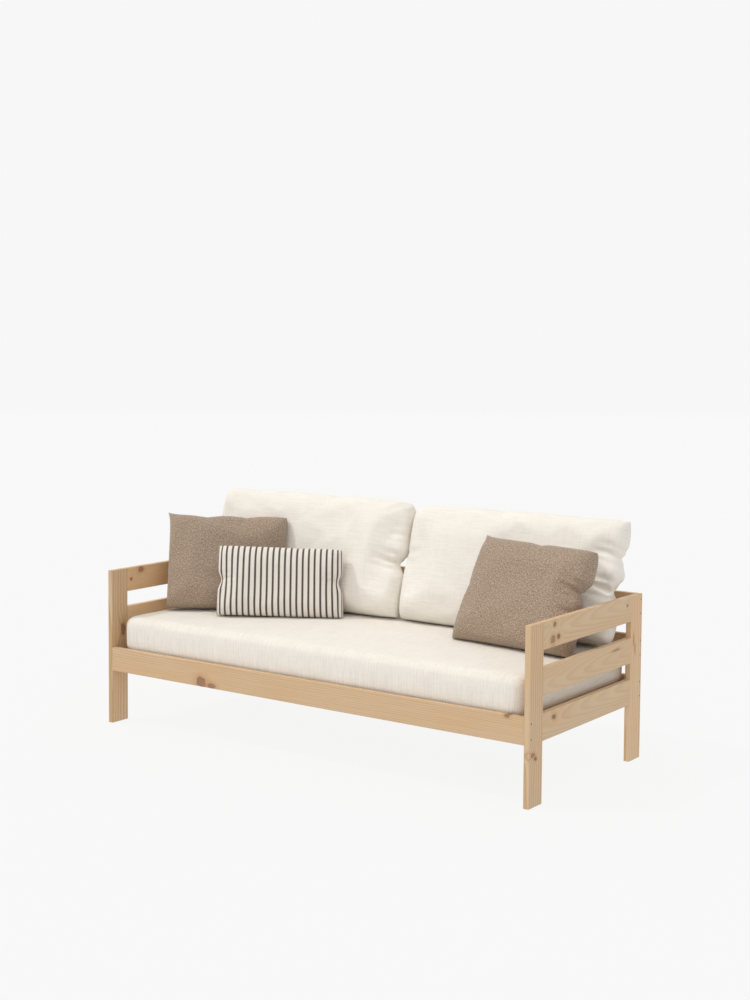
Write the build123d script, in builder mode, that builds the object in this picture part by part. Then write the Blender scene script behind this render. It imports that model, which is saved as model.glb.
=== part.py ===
from build123d import *
from math import atan, cos, degrees, radians, sin
import os

# A daybed-style futon sofa bed: a pine frame with slatted side and back panels, a slatted
# base, a single mattress as the seat, two long back cushions and three scatter cushions.
# Millimetres. X runs along the sofa, Y from front to back and Z up. The origin is on the
# floor, in the middle of the frame.

# ---------------------------------------------------------------- driving dimensions

FRAME_LENGTH = 1980
FRAME_DEPTH = 844
FRAME_HEIGHT = 630
BOARD = 22  # thickness of every planed board
EASE = 1.5  # radius of the sanded edges
LEG_WIDTH = 90
RAIL_HEIGHT = 96
RAIL_GAP = 62  # open gap between one rail and the next
RAIL_COUNT = 3  # rails in each arm and in the back
CLEARANCE = 0.3  # between loose pieces that rest on each other

LEDGER_HEIGHT = 40
LEDGER_LENGTH = 1900
LEDGER_BOTTOM = 227
SLAT_COUNT = 14
SLAT_WIDTH = 70
SLAT_THICKNESS = 18
SLAT_LENGTH = 796

DOWEL_RADIUS = 4
DOWEL_LENGTH = 38
DOWEL_HOLE_DEPTH = 20
DOWEL_OFFSET = 24  # from the middle of a rail's end to each dowel
SCREW_OFFSET = 27  # from the middle of a rail's end to each long screw
HOLE_CLEARANCE = 0.1  # on the radius

MATTRESS_LENGTH = 1890
MATTRESS_DEPTH = 794
MATTRESS_HEIGHT = 160
MATTRESS_CORNER = 50
MATTRESS_EDGE = 32
MATTRESS_COVER = 4
CUSHION_COVER = 2

# ---------------------------------------------------------------- worked-out places

INNER_LENGTH = FRAME_LENGTH - 2 * BOARD
RAIL_BOTTOMS = [
    FRAME_HEIGHT - RAIL_HEIGHT - level * (RAIL_HEIGHT + RAIL_GAP) for level in range(RAIL_COUNT)
]
LEVELS = dict(zip(("top", "middle", "lower"), RAIL_BOTTOMS))
LOWER_RAIL = LEVELS["lower"]
PANEL_X = FRAME_LENGTH / 2 - BOARD / 2  # middle plane of each side panel
PANEL_Y = FRAME_DEPTH / 2 - BOARD / 2  # middle plane of the front rail and the back rails
LEG_Y = FRAME_DEPTH / 2 - LEG_WIDTH / 2
LEG_INSIDE_Y = FRAME_DEPTH / 2 - LEG_WIDTH
LEDGER_Y = FRAME_DEPTH / 2 - BOARD * 1.5
SLAT_BOTTOM = LEDGER_BOTTOM + LEDGER_HEIGHT
SLAT_TOP = SLAT_BOTTOM + SLAT_THICKNESS
SLAT_PITCH = (LEDGER_LENGTH - SLAT_WIDTH) / (SLAT_COUNT - 1)
MATTRESS_BOTTOM = SLAT_TOP + CLEARANCE

SIDES = {"left": -1, "right": 1}
ENDS = {"front": -1, "back": 1}


def save(builder, label):
    """Label a finished piece and write it as parts/label.step."""
    builder.part.label = label
    export_step(builder.part, f"parts/{label}.step")


os.makedirs("parts", exist_ok=True)

# ---------------------------------------------------------------- fasteners' sizes


class LongScrew:
    """A connecting screw with a flat head, a smooth neck and a thread into end grain."""

    head_radius = 3.3
    head_height = 3
    socket_radius = 1.4
    socket_depth = 2
    neck_radius = 2.6
    thread_radius = 2
    length = 50


class WoodScrew:
    """A countersunk screw for the ledgers and the slats."""

    head_radius = 3.8
    head_height = 2.6
    thread_radius = 1.8
    length = 32
    slat_length = 30


def rail_screw_heights(rail_bottom):
    """Heights of the two long screws in the end of one rail."""
    middle = rail_bottom + RAIL_HEIGHT / 2
    return [middle - SCREW_OFFSET, middle + SCREW_OFFSET]


def dowel_heights(rail_bottom):
    """Heights of the two dowels in the end of one rail."""
    middle = rail_bottom + RAIL_HEIGHT / 2
    return [middle - DOWEL_OFFSET, middle + DOWEL_OFFSET]


def long_screw_heights(end):
    """Heights of all the long screws in one leg: one rail at the front, three at the back."""
    rails = RAIL_BOTTOMS if end == "back" else [LOWER_RAIL]
    return [z for rail in rails for z in rail_screw_heights(rail)]


def leg_face(side, end, z):
    """The plane on a leg's outer face at one long screw, facing outwards."""
    return Plane(
        origin=(side * FRAME_LENGTH / 2, end * PANEL_Y, z), x_dir=(0, 1, 0), z_dir=(side, 0, 0)
    )


def leg_edge(side, end, z):
    """The plane on a leg's inner edge at one dowel, facing along the side panel."""
    return Plane(origin=(side * PANEL_X, end * LEG_INSIDE_Y, z), x_dir=(1, 0, 0), z_dir=(0, -end, 0))


# ---------------------------------------------------------------- side panels

for side_name, side in SIDES.items():
    for end_name, end in ENDS.items():
        with BuildPart() as leg:
            with BuildSketch(Plane.XY):
                with Locations((side * PANEL_X, end * LEG_Y)):
                    Rectangle(BOARD, LEG_WIDTH)
            extrude(amount=FRAME_HEIGHT)
            fillet(leg.edges(), EASE)
            with Locations(*[leg_face(side, end, z) for z in long_screw_heights(end_name)]):
                CounterBoreHole(
                    radius=LongScrew.neck_radius + HOLE_CLEARANCE,
                    counter_bore_radius=LongScrew.head_radius + HOLE_CLEARANCE,
                    counter_bore_depth=LongScrew.head_height,
                    depth=BOARD,
                )
            dowels = [z for rail in RAIL_BOTTOMS for z in dowel_heights(rail)]
            with Locations(*[leg_edge(side, end, z) for z in dowels]):
                Hole(radius=DOWEL_RADIUS + HOLE_CLEARANCE / 2, depth=DOWEL_HOLE_DEPTH)
        save(leg, f"leg_{end_name}_{side_name}")

    for level, rail_bottom in LEVELS.items():
        with BuildPart() as arm_rail:
            with BuildSketch(Plane.XY.offset(rail_bottom)):
                with Locations((side * PANEL_X, 0)):
                    Rectangle(BOARD, 2 * LEG_INSIDE_Y)
            extrude(amount=RAIL_HEIGHT)
            fillet(arm_rail.edges().filter_by(Axis.Y), EASE)
            dowel_planes = [
                Plane(leg_edge(side, end, z).origin, x_dir=(1, 0, 0), z_dir=(0, end, 0))
                for end in ENDS.values()
                for z in dowel_heights(rail_bottom)
            ]
            with Locations(*dowel_planes):
                Hole(radius=DOWEL_RADIUS + HOLE_CLEARANCE / 2, depth=DOWEL_HOLE_DEPTH)
        save(arm_rail, f"arm_{side_name}_{level}_rail")

    with BuildPart() as dowels:
        for end in ENDS.values():
            for rail_bottom in RAIL_BOTTOMS:
                for z in dowel_heights(rail_bottom):
                    with BuildSketch(leg_edge(side, end, z).offset(-DOWEL_LENGTH / 2)):
                        Circle(DOWEL_RADIUS)
                    extrude(amount=DOWEL_LENGTH)
        chamfer(dowels.edges().filter_by(GeomType.CIRCLE), 1)
    save(dowels, f"arm_dowels_{side_name}")

# ---------------------------------------------------------------- front rail and back rails


def screw_pilots(end, rail_bottom):
    """Planes in both ends of a long rail, facing out of the rail at each long screw."""
    return [
        Plane(
            origin=(side * INNER_LENGTH / 2, end * PANEL_Y, z), x_dir=(0, 1, 0), z_dir=(side, 0, 0)
        )
        for side in SIDES.values()
        for z in rail_screw_heights(rail_bottom)
    ]


def ledger_screw_planes(end, face_y):
    """Planes on a ledger's or a rail's inner face at the ledger screws, facing the base."""
    spacing = LEDGER_LENGTH / 7
    height = LEDGER_BOTTOM + LEDGER_HEIGHT / 2
    return [
        Plane(origin=(spacing * step, end * face_y, height), x_dir=(1, 0, 0), z_dir=(0, -end, 0))
        for step in range(-3, 4)
    ]


RAIL_INSIDE_Y = FRAME_DEPTH / 2 - BOARD
LEDGER_INSIDE_Y = RAIL_INSIDE_Y - BOARD
PILOT_DEPTH = LongScrew.length - BOARD + 1
LEDGER_PILOT_DEPTH = WoodScrew.length - BOARD + 1

LONG_RAILS = {
    "front_rail": (-1, LOWER_RAIL),
    "back_top_rail": (1, LEVELS["top"]),
    "back_middle_rail": (1, LEVELS["middle"]),
    "back_lower_rail": (1, LOWER_RAIL),
}

for name, (end, rail_bottom) in LONG_RAILS.items():
    with BuildPart() as long_rail:
        with BuildSketch(Plane.XY.offset(rail_bottom)):
            with Locations((0, end * PANEL_Y)):
                Rectangle(INNER_LENGTH, BOARD)
        extrude(amount=RAIL_HEIGHT)
        fillet(long_rail.edges().filter_by(Axis.X), EASE)
        with Locations(*screw_pilots(end, rail_bottom)):
            Hole(radius=LongScrew.thread_radius + HOLE_CLEARANCE, depth=PILOT_DEPTH)
        if rail_bottom == LOWER_RAIL:
            with Locations(*ledger_screw_planes(end, RAIL_INSIDE_Y)):
                Hole(radius=WoodScrew.thread_radius + HOLE_CLEARANCE, depth=LEDGER_PILOT_DEPTH)
    save(long_rail, name)

# ---------------------------------------------------------------- slatted base

SLAT_MIDDLES = [(index - (SLAT_COUNT - 1) / 2) * SLAT_PITCH for index in range(SLAT_COUNT)]
SLAT_PILOT_DEPTH = WoodScrew.slat_length - SLAT_THICKNESS + 1


def slat_screw_planes(xs, ends, z):
    """Planes at the slat screws, facing up."""
    return [Plane(origin=(x, end * LEDGER_Y, z), z_dir=(0, 0, 1)) for x in xs for end in ends]


for end_name, end in ENDS.items():
    with BuildPart() as ledger:
        with BuildSketch(Plane.XY.offset(LEDGER_BOTTOM)):
            with Locations((0, end * LEDGER_Y)):
                Rectangle(LEDGER_LENGTH, BOARD)
        extrude(amount=LEDGER_HEIGHT)
        fillet(ledger.edges().filter_by(Axis.X), EASE)
        with Locations(*ledger_screw_planes(end, LEDGER_INSIDE_Y)):
            CounterSinkHole(
                radius=WoodScrew.thread_radius + HOLE_CLEARANCE,
                counter_sink_radius=WoodScrew.head_radius + HOLE_CLEARANCE,
                counter_sink_angle=90,
            )
        with Locations(*slat_screw_planes(SLAT_MIDDLES, [end], SLAT_BOTTOM)):
            Hole(radius=WoodScrew.thread_radius + HOLE_CLEARANCE, depth=SLAT_PILOT_DEPTH)
    save(ledger, f"ledger_{end_name}")

for number, slat_x in enumerate(SLAT_MIDDLES, start=1):
    with BuildPart() as slat:
        with BuildSketch(Plane.XY.offset(SLAT_BOTTOM)):
            with Locations((slat_x, 0)):
                Rectangle(SLAT_WIDTH, SLAT_LENGTH)
        extrude(amount=SLAT_THICKNESS)
        fillet(slat.edges().filter_by(Axis.Y), EASE)
        with Locations(*slat_screw_planes([slat_x], ENDS.values(), SLAT_TOP)):
            CounterSinkHole(
                radius=WoodScrew.thread_radius + HOLE_CLEARANCE,
                counter_sink_radius=WoodScrew.head_radius + HOLE_CLEARANCE,
                counter_sink_angle=90,
            )
    save(slat, f"slat_{number:02d}")

# ---------------------------------------------------------------- fasteners


def across(head):
    """The plane through a screw's axis: its Y runs into the wood from the head's plane."""
    return Plane(origin=head.origin, x_dir=head.x_dir, z_dir=head.y_dir)


def wood_screw_outline(length):
    """Half the outline of a countersunk screw, from the middle of its head."""
    sink = WoodScrew.head_radius - WoodScrew.thread_radius
    return [
        (0, 0),
        (WoodScrew.head_radius, 0),
        (WoodScrew.thread_radius, sink),
        (WoodScrew.thread_radius, length - 3),
        (0, length),
    ]


def long_screw_outline():
    """Half the outline of a long screw with a socket in its flat head."""
    top = HOLE_CLEARANCE
    socket = top + LongScrew.socket_depth
    return [
        (0, socket),
        (LongScrew.socket_radius, socket),
        (LongScrew.socket_radius, top),
        (LongScrew.head_radius, top),
        (LongScrew.head_radius, LongScrew.head_height),
        (LongScrew.neck_radius, LongScrew.head_height),
        (LongScrew.neck_radius, BOARD),
        (LongScrew.thread_radius, BOARD),
        (LongScrew.thread_radius, LongScrew.length - 4),
        (0, LongScrew.length),
    ]


def save_screws(label, heads, outline):
    """Turn the same screw at every head plane and write them as one group."""
    with BuildPart() as screws:
        for head in heads:
            with BuildSketch(across(head)):
                with BuildLine():
                    Polyline(*outline, close=True)
                make_face()
            revolve(axis=Axis(head.origin, head.z_dir))
    save(screws, label)


for side_name, side in SIDES.items():
    heads = [leg_face(side, ENDS[end], z) for end in ENDS for z in long_screw_heights(end)]
    save_screws(f"rail_screws_{side_name}", heads, long_screw_outline())

ledger_heads = [
    head for end in ENDS.values() for head in ledger_screw_planes(end, LEDGER_INSIDE_Y)
]
save_screws("ledger_screws", ledger_heads, wood_screw_outline(WoodScrew.length))

slat_heads = slat_screw_planes(SLAT_MIDDLES, ENDS.values(), SLAT_TOP)
save_screws("slat_screws", slat_heads, wood_screw_outline(WoodScrew.slat_length))

# ---------------------------------------------------------------- mattress


def mattress_block(inset):
    """A block with round corners and soft edges, inset on every side from the outside."""
    with BuildPart() as block:
        with BuildSketch(Plane.XY.offset(MATTRESS_BOTTOM + inset)):
            RectangleRounded(
                MATTRESS_LENGTH - 2 * inset, MATTRESS_DEPTH - 2 * inset, MATTRESS_CORNER - inset
            )
        extrude(amount=MATTRESS_HEIGHT - 2 * inset)
        ends = block.faces().filter_by(Axis.Z)
        fillet(ends.edges(), MATTRESS_EDGE - inset)
    return block


mattress_core = mattress_block(MATTRESS_COVER)
save(mattress_core, "mattress_core")

with BuildPart() as mattress_cover:
    add(mattress_block(0).part)
    add(mattress_core.part, mode=Mode.SUBTRACT)
save(mattress_cover, "mattress_cover")

# ---------------------------------------------------------------- cushions


class Cushion:
    """A filled cover: a rectangle at its seam, swelling to a flat middle on both faces."""

    def __init__(self, name, place, turn, lean, width, height, thickness, swell):
        self.name = name
        self.place = place  # middle of the bottom seam
        self.turn = turn  # degrees, seen from above
        self.lean = lean  # degrees back from upright
        self.width = width
        self.height = height
        self.thickness = thickness
        self.swell = swell  # from the seam to the flat middle

    def seam_plane(self):
        """The plane of the seam: its Y is up the cushion and its Z is the front normal."""
        turn = radians(self.turn)
        lean = radians(self.lean)
        along = Vector(cos(turn), sin(turn), 0)
        back = Vector(-sin(turn), cos(turn), 0)
        up = Vector(0, 0, 1) * cos(lean) + back * sin(lean)
        middle = Vector(*self.place) + up * (self.height / 2)
        return Plane(origin=middle, x_dir=along, z_dir=along.cross(up))

    def body(self, inset):
        """The closed shape, inset on every side from the outside of the cover."""
        half = self.thickness / 2 - inset
        slope = degrees(atan((self.swell - inset) / half))
        with BuildPart() as shape:
            with BuildSketch(self.seam_plane()):
                Rectangle(self.width - 4 * inset, self.height - 4 * inset)
            extrude(amount=half, both=True, taper=slope)
        return shape


CUSHIONS = [
    Cushion("back_cushion_left", (-471, 194, 456), 2, 19, 948, 484, 190, 100),
    Cushion("back_cushion_right", (477, 222, 456), 0, 19, 936, 480, 190, 100),
    Cushion("brown_cushion_left", (-686, -45, 458), 34, 20, 494, 394, 130, 110),
    Cushion("brown_cushion_right", (664, 0, 458), -5, 25, 504, 406, 130, 110),
    Cushion("striped_cushion", (-407, -33, 456), 32, 12, 510, 280, 110, 90),
]

for cushion in CUSHIONS:
    fill = cushion.body(CUSHION_COVER)
    save(fill, f"{cushion.name}_fill")
    with BuildPart() as cover:
        add(cushion.body(0).part)
        add(fill.part, mode=Mode.SUBTRACT)
    save(cover, f"{cushion.name}_cover")
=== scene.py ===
"""Looks of a futon sofa bed: a pine daybed frame, a linen mattress and loose cushions.

Metres, in the frame's own axes: X along the sofa, Y from front to back and Z up.
"""

import logging
import math
from dataclasses import dataclass
from enum import Enum
from typing import Iterable, Union

import bmesh
import bpy
from mathutils import Matrix, Vector, noise
from mathutils.bvhtree import BVHTree


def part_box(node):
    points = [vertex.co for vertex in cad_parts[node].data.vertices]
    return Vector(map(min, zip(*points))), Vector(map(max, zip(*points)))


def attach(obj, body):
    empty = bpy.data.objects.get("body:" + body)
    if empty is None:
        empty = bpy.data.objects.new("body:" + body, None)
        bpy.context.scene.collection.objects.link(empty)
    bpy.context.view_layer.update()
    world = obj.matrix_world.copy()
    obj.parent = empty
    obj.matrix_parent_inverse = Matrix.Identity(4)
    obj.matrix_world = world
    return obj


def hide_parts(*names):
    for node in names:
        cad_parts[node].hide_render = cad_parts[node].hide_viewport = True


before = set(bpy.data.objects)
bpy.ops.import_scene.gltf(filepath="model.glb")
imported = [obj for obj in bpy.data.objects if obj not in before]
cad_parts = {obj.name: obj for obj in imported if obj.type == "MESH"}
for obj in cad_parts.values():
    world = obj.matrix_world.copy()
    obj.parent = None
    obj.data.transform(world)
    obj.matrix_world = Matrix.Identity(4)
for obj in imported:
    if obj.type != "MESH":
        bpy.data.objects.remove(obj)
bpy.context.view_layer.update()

log = logging.getLogger("sofa")

Colour = tuple[float, float, float]
WEAVE = "weave"  # the UV map that every fabric piece carries, in metres of cloth


def srgb(red: int, green: int, blue: int) -> Colour:
    """A linear colour from its display values.

    Args:
        red: display red, 0 to 255.
        green: display green, 0 to 255.
        blue: display blue, 0 to 255.

    Returns:
        The linear colour that a shader takes.
    """
    return tuple(((v / 255 + 0.055) / 1.055) ** 2.4 for v in (red, green, blue))


# ------------------------------------------------------------------ shader expressions


class Wire:
    """One output socket in a material, used in arithmetic that adds Math nodes."""

    def __init__(self, graph: "Graph", socket: bpy.types.NodeSocket) -> None:
        """Hold a socket and the graph that it belongs to."""
        self.graph = graph
        self.socket = socket

    def __add__(self, other: "Term") -> "Wire":
        """Sum."""
        return self.graph.maths("ADD", self, other)

    def __radd__(self, other: "Term") -> "Wire":
        """Sum, number first."""
        return self.graph.maths("ADD", other, self)

    def __sub__(self, other: "Term") -> "Wire":
        """Difference."""
        return self.graph.maths("SUBTRACT", self, other)

    def __rsub__(self, other: "Term") -> "Wire":
        """Difference, number first."""
        return self.graph.maths("SUBTRACT", other, self)

    def __mul__(self, other: "Term") -> "Wire":
        """Product."""
        return self.graph.maths("MULTIPLY", self, other)

    def __rmul__(self, other: "Term") -> "Wire":
        """Product, number first."""
        return self.graph.maths("MULTIPLY", other, self)

    def __truediv__(self, other: "Term") -> "Wire":
        """Quotient."""
        return self.graph.maths("DIVIDE", self, other)

    def __rtruediv__(self, other: "Term") -> "Wire":
        """Quotient, number first."""
        return self.graph.maths("DIVIDE", other, self)


Term = Union[Wire, float, int]


class Graph:
    """The node tree of one material, with its Principled shader."""

    def __init__(self, name: str) -> None:
        """Start a material with an output and a Principled shader.

        Args:
            name: the material's name.
        """
        self.material = bpy.data.materials.new(name)
        self.material.use_nodes = True
        self.tree = self.material.node_tree
        self.tree.nodes.clear()
        self.shader = self.tree.nodes.new("ShaderNodeBsdfPrincipled")
        output = self.tree.nodes.new("ShaderNodeOutputMaterial")
        self.tree.links.new(self.shader.outputs[0], output.inputs[0])

    def node(
        self,
        kind: str,
        settings: dict[str, object] | None = None,
        inputs: dict[int | str, object] | None = None,
        output: int | str = 0,
    ) -> Wire:
        """Add one node.

        Args:
            kind: the node's type name.
            settings: the node's own properties, set first.
            inputs: values or wires, by socket name or number.
            output: the output socket to return.

        Returns:
            That output as a wire.
        """
        made = self.tree.nodes.new(kind)
        for key, value in (settings or {}).items():
            setattr(made, key, value)
        for key, value in (inputs or {}).items():
            if isinstance(value, Wire):
                self.tree.links.new(value.socket, made.inputs[key])
            else:
                made.inputs[key].default_value = value
        return Wire(self, made.outputs[output])

    def maths(self, operation: str, *terms: Term) -> Wire:
        """One Math node on numbers or wires."""
        return self.node("ShaderNodeMath", {"operation": operation}, dict(enumerate(terms)))

    def point(self, x: Term, y: Term, z: Term = 0.0) -> Wire:
        """A vector from three terms."""
        return self.node("ShaderNodeCombineXYZ", inputs={"X": x, "Y": y, "Z": z})

    def split(self, vector: Wire) -> tuple[Wire, Wire, Wire]:
        """The three parts of a vector."""
        parts = self.node("ShaderNodeSeparateXYZ", inputs={0: vector}).socket.node
        return tuple(Wire(self, parts.outputs[axis]) for axis in "XYZ")

    def place(self) -> tuple[Wire, Wire, Wire]:
        """Object coordinates, which are the frame's own axes."""
        return self.split(self.node("ShaderNodeTexCoord", output="Object"))

    def cloth(self) -> tuple[Wire, Wire]:
        """Metres along and up a piece of cloth, from its weave map."""
        across, up, _ = self.split(self.node("ShaderNodeUVMap", {"uv_map": WEAVE}))
        return across, up

    def speckle(self, vector: Wire, detail: float = 1.0, rough: float = 0.5) -> Wire:
        """Noise from 0 to 1 at a scale of one, so the vector carries the scale."""
        values = {"Vector": vector, "Scale": 1.0, "Detail": detail, "Roughness": rough}
        return self.node("ShaderNodeTexNoise", {"noise_dimensions": "3D"}, values)

    def ease(self, value: Wire, low: float, high: float) -> Wire:
        """A smooth step from 0 at low to 1 at high."""
        span = {"Value": value, "From Min": low, "From Max": high}
        return self.node("ShaderNodeMapRange", {"interpolation_type": "SMOOTHSTEP"}, span)

    def threads(self, across: Wire, up: Wire, pitch: float) -> Wire:
        """The raised threads of a plain weave, from -1 to 1, at a pitch in metres."""
        rows = [self.maths("SINE", metres * (math.pi / pitch)) for metres in (across, up)]
        return rows[0] * rows[1]

    def mix(self, share: Term, first: "Colour | Wire", second: "Colour | Wire") -> Wire:
        """Mix two colours.

        Args:
            share: 0 for the first colour, 1 for the second.
            first: a colour or a wire that carries one.
            second: a colour or a wire that carries one.

        Returns:
            The mixed colour.
        """
        ends = [c if isinstance(c, Wire) else (*c, 1.0) for c in (first, second)]
        inputs = {0: share, 6: ends[0], 7: ends[1]}
        return self.node("ShaderNodeMix", {"data_type": "RGBA"}, inputs, output=2)

    def shade(self, colour: Wire, factor: Wire) -> Wire:
        """A colour made lighter or darker by a factor around one."""
        scale = {0: colour, "Scale": factor}
        return self.node("ShaderNodeVectorMath", {"operation": "SCALE"}, scale)

    def feed(self, socket: str, value: Wire) -> None:
        """Link a wire to the shader."""
        self.tree.links.new(value.socket, self.shader.inputs[socket])

    def keep(self, **values: float) -> None:
        """Set constants on the shader, with underscores for spaces in the socket names."""
        for key, value in values.items():
            self.shader.inputs[key.replace("_", " ")].default_value = value

    def emboss(self, height: Wire, depth: float, strength: float = 1.0) -> None:
        """Bump the surface by a height from 0 to 1 that stands for a depth in metres."""
        inputs = {"Height": height, "Distance": depth, "Strength": strength}
        self.feed("Normal", self.node("ShaderNodeBump", inputs=inputs))


# ------------------------------------------------------------------ finishes


class Grain(Enum):
    """Which way a board's grain runs and which way its wide face looks."""

    ALONG_X_FACING_Y = ("x", "z", "y")
    ALONG_X_FACING_Z = ("x", "y", "z")
    ALONG_Y_FACING_X = ("y", "z", "x")
    ALONG_Y_FACING_Z = ("y", "x", "z")
    ALONG_Z_FACING_X = ("z", "y", "x")


@dataclass(frozen=True)
class Knot:
    """A branch knot that runs through a board.

    Attributes:
        along: metres from the board's middle, along the grain.
        across: metres from the board's middle, across its wide face.
        radius: half the knot's width across the grain.
        stretch: its length over its width.
        darkness: 0 for a pale red knot, 1 for a dark one.
    """

    along: float
    across: float
    radius: float
    stretch: float = 1.3
    darkness: float = 0.5


@dataclass(frozen=True)
class Board:
    """How one CAD board was sawn from its log.

    Attributes:
        grain: the grain's direction.
        pith: the log's middle, across and behind the board's middle, in metres.
        drift: how far the pith wanders across and behind, per metre of board.
        ring: width of a growth ring.
        brightness: lighter above one and darker below it; on the left arm's inner faces it is
            raised as painted bounce light.
        seed: moves the figure.
        knots: the knots in it.
        heart_and_bounce: how much warmer heartwood shows, from 0 to 1; on the left arm it also
            paints warm bounce light.
        contrast: how dark the latewood is, from 0 to 1.
    """

    grain: Grain
    pith: tuple[float, float]
    drift: tuple[float, float] = (0.0, 0.02)
    ring: float = 0.0075
    tone: float = 1.0
    seed: float = 0.0
    knots: tuple[Knot, ...] = ()
    heart_and_bounce: float = 0.45
    contrast: float = 0.66


@dataclass(frozen=True)
class PineFinish:
    """Planed pine under a clear matt oil.

    Attributes:
        early: the pale earlywood of each ring.
        late: its darker latewood.
        heart_and_bounce: the warmer heartwood, also used to paint warm bounce light on the left
            arm.
        resin: the wood round a knot.
        knot_pale: the pale patches in a knot.
        knot_red: its red patches.
        knot_dark: its bark ring and dark heart.
        knot_reach: how quickly the rings settle past a knot; less bends them further out.
        knot_push: how far a knot pushes the rings aside, as a share of its radius.
        relief: depth of the fibres and of the proud latewood, in metres.
    """

    early: Colour = srgb(217, 193, 162)
    late: Colour = srgb(186, 148, 106)
    heart_and_bounce: Colour = srgb(206, 167, 121)
    resin: Colour = srgb(190, 138, 90)
    knot_pale: Colour = srgb(158, 128, 104)
    knot_red: Colour = srgb(156, 108, 80)
    knot_dark: Colour = srgb(92, 64, 54)
    knot_reach: float = 0.22
    knot_push: float = 1.5
    relief: float = 0.00022

    def rings(self, graph: Graph, board: Board, along: Wire, across: Wire, behind: Wire) -> Wire:
        """Count growth rings out from the pith, bent round the knots.

        Args:
            graph: the material's graph.
            board: how the board was sawn.
            along: metres along the grain.
            across: metres across the wide face.
            behind: metres through the thickness.

        Returns:
            The ring number, with its fraction.
        """
        sway = graph.speckle(graph.point(along * 1.7 + board.seed, across * 9, behind * 9), 2)
        wave = graph.speckle(graph.point(along * 9 + board.seed, across * 40, behind * 40), 2)
        side = across - along * board.drift[0] - board.pith[0] + (sway - 0.5) * 0.022
        back = behind - along * board.drift[1] - board.pith[1]
        reach = graph.maths("SQRT", side * side + back * back) + (wave - 0.5) * 0.0030
        for knot in board.knots:
            gap = self.gap(graph, knot, along, across)
            push = graph.maths("EXPONENT", (gap * gap) * (-self.knot_reach / knot.radius**2))
            reach = reach + push * knot.radius * self.knot_push
        return reach / board.ring

    def gap(self, graph: Graph, knot: Knot, along: Wire, across: Wire) -> Wire:
        """Measure how far the wood is from a knot, as if the knot were round.

        Args:
            graph: the material's graph.
            knot: the knot.
            along: metres along the grain.
            across: metres across the wide face.

        Returns:
            The distance from its middle, in metres.
        """
        down = (along - knot.along) / knot.stretch
        side = across - knot.across
        return graph.maths("SQRT", down * down + side * side)

    def material(
        self, name: str, board: Board, centre: Vector, pitch: float = 0.0
    ) -> bpy.types.Material:
        """Make the material of one board.

        Args:
            name: the material's name.
            board: how the board was sawn.
            centre: the board's middle.
            pitch: the spacing of a row of equal boards across the grain, or 0 for one board.

        Returns:
            The material.
        """
        graph = Graph(name)
        axes = dict(zip("xyz", graph.place()))
        middle = dict(zip("xyz", centre))
        along, across, behind = (axes[a] - middle[a] for a in board.grain.value)
        extra: Term = 0.0
        if pitch:
            count = graph.maths("ROUND", across / pitch)
            across = across - count * pitch
            extra = count * 3.7
            along = along + count * 0.613
        ring = self.rings(graph, board, along, across, behind)
        part = graph.maths("FRACT", ring)
        late = graph.ease(part, 0.25, 0.93) * (1 - graph.ease(part, 0.94, 1.0))
        streak = graph.speckle(
            graph.point(along * 14 + extra, across * 420 + board.seed, behind * 420), 2, 0.6
        )
        fibre = graph.speckle(graph.point(along * 60, across * 2200, behind * 2200), 1)
        cloud = graph.speckle(
            graph.point(along * 2.5 + board.seed, across * 14, behind * 14 + extra), 2
        )
        number = graph.speckle(graph.point(graph.maths("FLOOR", ring) * 0.73, board.seed), 0)
        strength = 0.30 + number * 0.75
        # heartwood warmth, which on the left arm's rails is partly painted warm bounce light
        warmth = graph.ease(cloud, 0.30, 0.70) * 0.3 + board.heart_and_bounce * 0.7
        colour = graph.mix(warmth, self.early, self.heart_and_bounce)
        colour = graph.mix(late * strength * board.contrast, colour, self.late)
        knots: Wire | None = None
        for knot in board.knots:
            colour, inside = self.add_knot(graph, knot, along, across, colour)
            knots = inside if knots is None else graph.maths("MAXIMUM", knots, inside)
        # the board's lightness, raised on the left arm's rails as painted bounce light
        factor = (streak - 0.5) * 0.16 + (fibre - 0.5) * 0.10 + (cloud - 0.5) * 0.10 + board.tone
        graph.feed("Base Color", graph.shade(colour, factor))
        graph.feed("Roughness", 0.56 - late * 0.08 + (fibre - 0.5) * 0.16)
        height = fibre * 0.5 + streak * 0.3 + late * 0.2
        if knots is not None:
            height = height + knots * 0.5
        graph.emboss(height, self.relief, 0.7)
        graph.keep(Specular_IOR_Level=0.35)
        return graph.material

    def add_knot(
        self, graph: Graph, knot: Knot, along: Wire, across: Wire, colour: Wire
    ) -> tuple[Wire, Wire]:
        """Paint one knot and the darker wood round it.

        Args:
            graph: the material's graph.
            knot: the knot.
            along: metres along the grain.
            across: metres across the wide face.
            colour: the wood's colour so far.

        Returns:
            The new colour, and the knot's mask.
        """
        scale = 0.9 / knot.radius
        uneven = graph.speckle(graph.point(along * scale, across * scale, knot.along * 40), 3) - 0.5
        gap = self.gap(graph, knot, along, across) + uneven * knot.radius * 1.1
        halo = 1 - graph.ease(gap, knot.radius * 0.7, knot.radius * 2.6)
        inside = 1 - graph.ease(gap, knot.radius * 0.70, knot.radius * 1.15)
        rim = graph.ease(gap, knot.radius * 0.55, knot.radius * 0.88)
        patch = graph.speckle(graph.point(along * 190, across * 190, knot.along * 70), 2)
        core = graph.mix(graph.ease(patch, 0.35, 0.65), self.knot_pale, self.knot_red)
        core = graph.mix(knot.darkness * 0.55, core, self.knot_dark)
        core = graph.mix(rim * (0.35 + 0.55 * patch), core, self.knot_dark)
        warmed = graph.mix(halo * 0.50, colour, self.resin)
        return graph.mix(inside * (0.62 + 0.3 * knot.darkness), warmed, core), inside


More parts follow.
